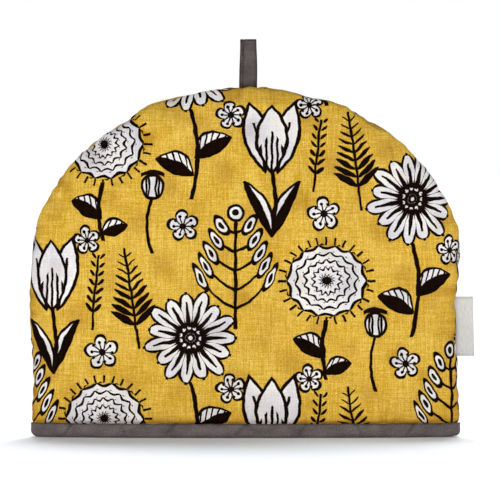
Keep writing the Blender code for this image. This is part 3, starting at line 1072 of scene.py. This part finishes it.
def flower_print(x, y):
    """How far a point of the cloth is outside all the ink, and outside all the white paint."""
    inks, paints = [], []

    def draw(ink, paint=None):
        inks.append(ink)
        if paint is not None:
            paints.append(paint)

    def draw_leaf(from_x, from_y, at, degrees, long, wide, left=False):
        across = at[0] - from_x if left else from_x - at[0]
        draw(*leaf(*turned(across, from_y - at[1], degrees), long, wide))

    daisy_x, daisy_y = repeated(x, y, (2, 64))
    draw(*daisy(daisy_x, daisy_y))
    draw(stem(daisy_x, daisy_y, -30, -96, 5))
    draw_leaf(daisy_x, daisy_y, (3, -66), 30, 29, 8)
    draw_leaf(daisy_x, daisy_y, (2, -78), 24, 28, 7.6, left=True)

    pompon_x, pompon_y = repeated(x, y, (-58, 8))
    draw(*pompon(pompon_x, pompon_y))
    draw(stem(pompon_x, pompon_y, -27, -68, -3))
    draw_leaf(pompon_x, pompon_y, (-1, -52), 30, 25, 7, left=True)
    draw_leaf(pompon_x, pompon_y, (-1, -63), 20, 19, 5.6)

    tulip_x, tulip_y = repeated(x, y, (58, 14))
    draw(*tulip(tulip_x / 1.2, tulip_y / 1.2))
    draw(stem(tulip_x, tulip_y, -24, -70, 2.5))
    draw(*blades(tulip_x, tulip_y + 70))

    draw(*berries(*repeated(x, y, (33, 84))))
    draw(fern(*turned(*repeated(x, y, (-36, 73)), 8)))
    draw(*poppy_head(*repeated(x, y, (-24, -22))))
    draw(sprig(*turned(*repeated(x, y, (-66, 82)), -6)))
    for at, size in (((-60, 54), 11.5), ((30, 29), 10), ((84, 36), 9.5), ((-3, -49), 10.5)):
        draw(*blossom(*repeated(x, y, at), size))
    return smaller(*inks), smaller(*paints)


# --- Finishes -----------------------------------------------------------------------------------------------

# Colours as they are seen on a screen, 0 to 255, each at its place on a ramp from 0 to 1.
Tone = namedtuple("Tone", "place red green blue")
MUSTARD = [Tone(0.38, 198, 150, 26), Tone(0.5, 218, 176, 64), Tone(0.62, 238, 203, 103)]
WHITE_PAINT = [Tone(0.38, 213, 209, 213), Tone(0.5, 232, 227, 227), Tone(0.62, 248, 242, 232)]
BLACK_INK = [Tone(0.4, 2, 0, 0), Tone(0.62, 29, 10, 0)]
NATURAL_COTTON = [Tone(0.38, 206, 197, 178), Tone(0.62, 226, 218, 201)]
TAPE_GREY = [Tone(0.36, 77, 69, 68), Tone(0.5, 99, 90, 89), Tone(0.64, 121, 112, 111)]
RIBBON_WHITE = [Tone(0.35, 198, 197, 193), Tone(0.65, 217, 216, 213)]

# Painted shade: where a point takes it, the mustard turns towards a deeper, warmer one, and each finish is
# multiplied by a darker colour of its own.
PAINTED_SHADE_MUSTARD = shade_of(204, 142, 34)
COTTON_PAINTED_SHADE = (0.66, 0.62, 0.6, 1)
TAPE_PAINTED_SHADE = (0.32, 0.25, 0.26, 1)
RIBBON_PAINTED_SHADE = (0.55, 0.55, 0.55, 1)


def weave(shade, x, y, pitch):
    """The height of a plain weave: over and under at each thread, with thicker and thinner threads."""
    turn = math.pi / pitch
    cross = sine(x * turn) * sine(y * turn)
    slubs = shade.noise(x * 0.9, y * 0.05, 3.1, 1.0) + shade.noise(x * 0.05, y * 0.9, 8.4, 1.0)
    return cross * 0.5 + slubs * 0.8


def printed_cotton():
    shade = Shade("printed_cotton_canvas", 0.86, specular=0.04)
    x, y = shade.flat_place()
    hollow = shade.hollow()
    threads_up = shade.noise(x * 1.7, y * 0.06, 1.7, 1.0, 0.55)
    threads_across = shade.noise(x * 0.06, y * 1.7, 5.3, 1.0, 0.55)
    floats_up = shade.noise(x * 1.5, y * 0.9, 12.6, 1.0)
    floats_across = shade.noise(x * 0.9, y * 1.5, 17.4, 1.0)
    clouds = shade.noise(x * 0.03, y * 0.03, 9.9, 1.0)
    linen = threads_up * 0.36 + threads_across * 0.3 + floats_up * 0.29 + floats_across * 0.29 - 0.12

    wobble_x = shade.noise(x * 0.11, y * 0.11, 20.0, 1.0) * 2.6 - 1.3
    wobble_y = shade.noise(x * 0.11, y * 0.11, 40.0, 1.0) * 2.6 - 1.3
    print_x, print_y = x + wobble_x - PRINT_RIGHT, y + wobble_y - PRINT_UP
    ink, paint = flower_print(print_x / PRINT_SCALE, print_y / PRINT_SCALE)
    ragged = shade.noise(x * 0.9, y * 0.9, 60.0, 2.0) - 0.5
    inked = within(ink + ragged * 0.55)
    painted = within(paint + ragged * 1.1)

    ground = shade.ramp(linen * 0.92 + clouds * 0.08, MUSTARD)
    # Painted shade turns the mustard ground towards a deeper, warmer one.
    ground = shade.blend(hollow * 0.5, ground, PAINTED_SHADE_MUSTARD)
    white = shade.ramp(linen * 0.6 + clouds * 0.4, WHITE_PAINT)
    black = shade.ramp(linen, BLACK_INK)
    printed = shade.blend(inked, shade.blend(painted, ground, white), black)
    # Painted shade darkens the whole print.
    shade.colour(shade.blend(hollow * 0.9, printed, COTTON_PAINTED_SHADE, "MULTIPLY"))
    shade.link(0.9 - inked * 0.16, shade.surface.inputs["Roughness"])
    shade.relief(weave(shade, x, y, 0.55), 0.22 * MM, 0.5)
    return shade.finish


def plain_cotton():
    shade = Shade("natural_cotton_inside", 0.9)
    x, y = shade.flat_place()
    linen = shade.noise(x * 0.7, y * 0.05, 2.0, 2.0) * 0.5 + shade.noise(x * 0.05, y * 0.7, 6.0, 2.0) * 0.5
    shade.colour(shade.ramp(linen, NATURAL_COTTON))
    shade.relief(weave(shade, x, y, 0.6), 0.25 * MM, 0.5)
    return shade.finish


def twill_tape():
    """Grey cotton tape: fine slanting ribs, and thread that is uneven in its grey."""
    shade = Shade("grey_twill_tape", 0.8)
    x, y = shade.flat_place()
    ribs = sine((x + y) * (math.tau / 0.95)) * 0.5 + 0.5
    thread = shade.noise(x * 0.9, y * 0.9, 4.0, 3.0, 0.6)
    cloud = shade.noise(x * 0.06, y * 0.12, 7.0, 1.0)
    tone = thread * 0.55 + cloud * 0.35 + ribs * 0.1
    # Painted shade darkens the tape.
    shade.colour(shade.blend(shade.hollow(), shade.ramp(tone, TAPE_GREY), TAPE_PAINTED_SHADE, "MULTIPLY"))
    shade.relief(ribs * 0.7 + thread * 0.5, 0.2 * MM, 0.5)
    return shade.finish


def satin_ribbon():
    """Woven ribbon with fine upright floats."""
    shade = Shade("off_white_satin_ribbon", 0.5)
    x, y = shade.flat_place()
    floats = shade.noise(x * 3.0, y * 0.2, 1.0, 2.0)
    # Painted shade darkens the ribbon.
    shade.colour(shade.blend(shade.hollow(), shade.ramp(floats, RIBBON_WHITE), RIBBON_PAINTED_SHADE, "MULTIPLY"))
    shade.relief(floats, 0.1 * MM, 0.4)
    return shade.finish


# --- Floor, light and camera --------------------------------------------------------------------------------

FLOOR_SIZE = 60
FLOOR_WHITE = (0.876, 0.90, 0.938, 1)
AMBIENT = 0.14

# How wide the picture is at the seam, where its middle lies, and from where it is taken.
VIEW_WIDTH = 398 * MM
VIEW_HEIGHT = 148.55 * MM
VIEW_RIGHT = 3.6 * MM
VIEW_ELEVATION = 0.7
VIEW_DISTANCE = 9

# Soft suns. Azimuth 0 is in front of the cosy and 90 at its right, and spread is how wide a sun looks.
Sun = namedtuple("Sun", "name strength azimuth elevation spread")
STUDIO_SUNS = [Sun("light_in_front", 2.08, 4, 6, 35), Sun("light_behind", 1.7, 184, 12, 35)]
SHOULDER_SUN = Sun("shoulder_light", 0.52, -46, 45, 40)

# For the floor alone. A row behind the cosy, from low to high, gives it the soft shadow in front, and one in
# front softens the shadow.
FLOOR_SUNS = [
    Sun("floor_light_177_28", 1.45, 177, 28, 17),
    Sun("floor_light_177_38", 1.2, 177, 38, 17),
    Sun("floor_light_177_48", 1.0, 177, 48, 17),
    Sun("floor_light_177_60", 0.4, 177, 60, 17),
    Sun("floor_light_0_60", 0.4, 0, 60, 17),
]

# Small soft lamps, in metres, that the camera doesn't see. They face down, and at a lean of 90 degrees they
# face the cosy.
Lamp = namedtuple("Lamp", "name energy wide deep place lean")
LOW_FILL_LAMP = Lamp("low_fill_light", 0.05, 0.62, 0.05, (BODY_X, -HEM_DEPTH / 2 - 0.125, 0.04), 90)
SHADOW_FILL_LAMP = Lamp("shadow_fill_light", 0.026, 0.03, 0.2, (0.078, -0.18, 0.09), 0)


def white_floor():
    bpy.ops.mesh.primitive_plane_add(size=FLOOR_SIZE, location=(0, 0, 0))
    floor = bpy.context.object
    floor.name = "floor"
    shade = Shade("white_floor", 0.95, specular=0.0)
    shade.colour(FLOOR_WHITE)
    floor.data.materials.append(shade.finish)
    return floor


def soft_sun(sun):
    data = bpy.data.lights.new(sun.name, "SUN")
    data.energy = sun.strength
    data.angle = math.radians(sun.spread)
    made = bpy.data.objects.new(sun.name, data)
    made.rotation_euler = (math.radians(90 - sun.elevation), 0, math.radians(sun.azimuth))
    bpy.context.scene.collection.objects.link(made)
    return made


def soft_lamp(lamp):
    data = bpy.data.lights.new(lamp.name, "AREA")
    data.shape = "RECTANGLE"
    data.size = lamp.wide
    data.size_y = lamp.deep
    data.energy = lamp.energy
    made = bpy.data.objects.new(lamp.name, data)
    made.location = lamp.place
    made.rotation_euler = (math.radians(lamp.lean), 0, 0)
    made.visible_camera = False
    bpy.context.scene.collection.objects.link(made)
    return made


def falls_on(lights, name, pieces):
    """Makes some lights fall on some pieces alone."""
    receivers = bpy.data.collections.new(name)
    for piece in pieces:
        receivers.objects.link(piece)
    for light in lights:
        light.light_linking.receiver_collection = receivers


def light_the_cosy(pieces):
    """For the cosy alone: a soft light from the upper left on its shoulders, and a long low one just in front
    of the hem, in place of the light that a white table gives back."""
    falls_on([soft_sun(SHOULDER_SUN), soft_lamp(LOW_FILL_LAMP)], "lit_by_the_cosy_lights", pieces)


def light_the_floor(floor):
    lights = [soft_lamp(SHADOW_FILL_LAMP)] + [soft_sun(sun) for sun in FLOOR_SUNS]
    falls_on(lights, "lit_by_the_floor_lights", [floor])


def studio_world():
    """A dim white light from all round, and a plain white backdrop for the camera."""
    world = bpy.data.worlds.new("studio")
    world.use_nodes = True
    bpy.context.scene.world = world
    nodes, links = world.node_tree.nodes, world.node_tree.links
    ambient = nodes["Background"]
    ambient.inputs["Color"].default_value = (1, 1, 1, 1)
    ambient.inputs["Strength"].default_value = AMBIENT
    backdrop = nodes.new("ShaderNodeBackground")
    backdrop.inputs["Color"].default_value = (1, 1, 1, 1)
    backdrop.inputs["Strength"].default_value = 1.0
    path = nodes.new("ShaderNodeLightPath")
    mix = nodes.new("ShaderNodeMixShader")
    links.new(path.outputs["Is Camera Ray"], mix.inputs[0])
    links.new(ambient.outputs[0], mix.inputs[1])
    links.new(backdrop.outputs[0], mix.inputs[2])
    links.new(mix.outputs[0], nodes["World Output"].inputs[0])


def face_on_camera():
    data = bpy.data.cameras.new("camera")
    data.sensor_width = 36
    data.lens = data.sensor_width * VIEW_DISTANCE / VIEW_WIDTH
    data.clip_end = 100
    made = bpy.data.objects.new("camera", data)
    lean = math.radians(VIEW_ELEVATION)
    aim = (BODY_X + VIEW_RIGHT, 0, VIEW_HEIGHT)
    made.location = (aim[0], -VIEW_DISTANCE * math.cos(lean), aim[2] + VIEW_DISTANCE * math.sin(lean))
    made.rotation_euler = (math.pi / 2 - lean, 0, 0)
    bpy.context.scene.collection.objects.link(made)
    bpy.context.scene.camera = made


def build():
    bpy.ops.object.select_all(action="DESELECT")
    face_on_camera()
    print_cloth, plain_cloth, tape_cloth = printed_cotton(), plain_cotton(), twill_tape()
    panel("front_panel", -1, print_cloth, plain_cloth)
    panel("back_panel", 1, print_cloth, plain_cloth)
    hem_binding(tape_cloth)
    hanging_loop(tape_cloth)
    side_label(satin_ribbon())
    meshes = [piece for piece in bpy.context.scene.objects if piece.type == "MESH"]
    light_the_cosy([piece for piece in meshes if piece.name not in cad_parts])
    floor = white_floor()
    for sun in STUDIO_SUNS:
        soft_sun(sun)
    light_the_floor(floor)
    studio_world()
    bpy.context.scene.view_settings.view_transform = "Standard"


build()
